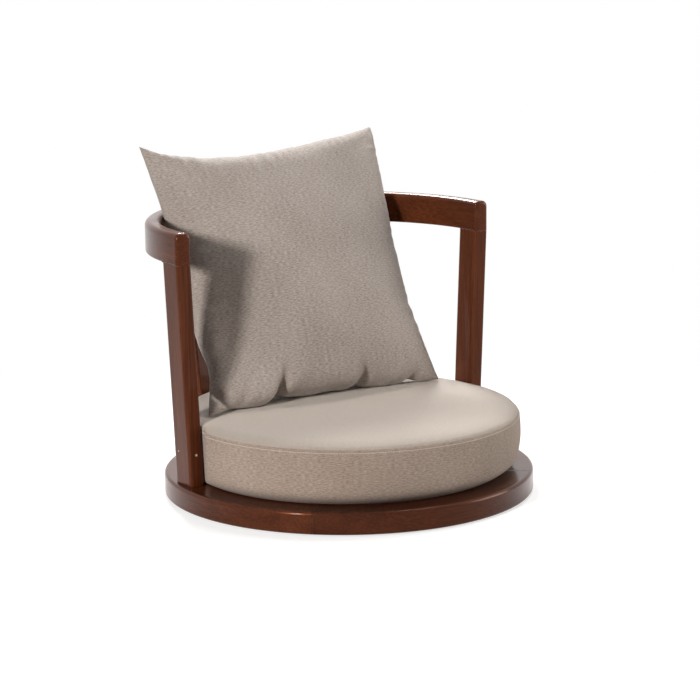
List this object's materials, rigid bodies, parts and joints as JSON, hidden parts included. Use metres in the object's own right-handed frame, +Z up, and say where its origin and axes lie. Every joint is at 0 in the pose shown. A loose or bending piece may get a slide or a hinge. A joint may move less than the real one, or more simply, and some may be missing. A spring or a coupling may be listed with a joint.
{
  "type": "floor chair",
  "caption": "Legless floor chair: round lacquered base, leaning posts and raked slats under a C-shaped arm rail, round box cushion and square throw pillow.",
  "frame": {"origin": "on the floor, under the centre of the round base", "axes": "+Z up, the chair faces -Y, +X to the right as seen from in front"},
  "size_m": [0.582, 0.621, 0.5292],
  "materials": {
    "lacquered_wood": "dark reddish walnut stain under glossy lacquer",
    "plywood": "plain birch plywood, unlacquered",
    "beech": "plain beech dowel",
    "steel": "zinc plated",
    "felt": "dense felt",
    "seat_top_fabric": "smooth matt greige cloth",
    "woven_fabric": "heathered coarse weave",
    "foam": "open cell foam and fibre filling",
    "zip_plastic": "nylon coil on tape",
    "zip_metal": "painted to match the tape"
  },
  "bodies": {
    "frame": {"base_rim_front": "lacquered_wood", "base_rim_right": "lacquered_wood", "base_rim_rear": "lacquered_wood", "base_rim_left": "lacquered_wood", "base_panel": "plywood", "batten_long": "plywood", "batten_cross": "plywood", "panel_screws": "steel", "batten_screws": "steel", "floor_pads": "felt", "rim_dowels": "beech", "front_post_left": "lacquered_wood", "front_post_right": "lacquered_wood", "post_bolts": "steel", "post_washers": "steel", "post_inserts": "steel", "post_top_dowels": "beech", "back_slat_left": "lacquered_wood", "back_slat_centre": "lacquered_wood", "back_slat_right": "lacquered_wood", "slat_screws": "steel", "slat_dowels": "beech", "rail_arm_left": "lacquered_wood", "rail_back": "lacquered_wood", "rail_arm_right": "lacquered_wood", "rail_dowels": "beech"},
    "seat_cushion": {"seat_cover_top": "seat_top_fabric", "seat_cover_band": "woven_fabric", "seat_cover_base": "woven_fabric", "seat_foam": "foam", "seat_zip": "zip_plastic"},
    "seat_zip_slider": {"seat_zip_slider": "zip_metal"},
    "pillow": {"pillow_cover_front": "woven_fabric", "pillow_cover_back": "woven_fabric", "pillow_filling": "foam"}
  },
  "joints": [
    {"name": "seat_lift", "type": "slide", "parent": "frame", "child": "seat_cushion", "axis": [0, 0, 1], "range_m": [0, 0.42]},
    {"name": "zip_run", "type": "hinge", "parent": "seat_cushion", "child": "seat_zip_slider", "pos_m": [0, 0, 0.0503], "axis": [0, 0, 1], "range_deg": [-100, 0]},
    {"name": "pillow_lift", "type": "slide", "parent": "seat_cushion", "child": "pillow", "axis": [0, 0, 1], "range_m": [0, 0.34]}
  ]
}
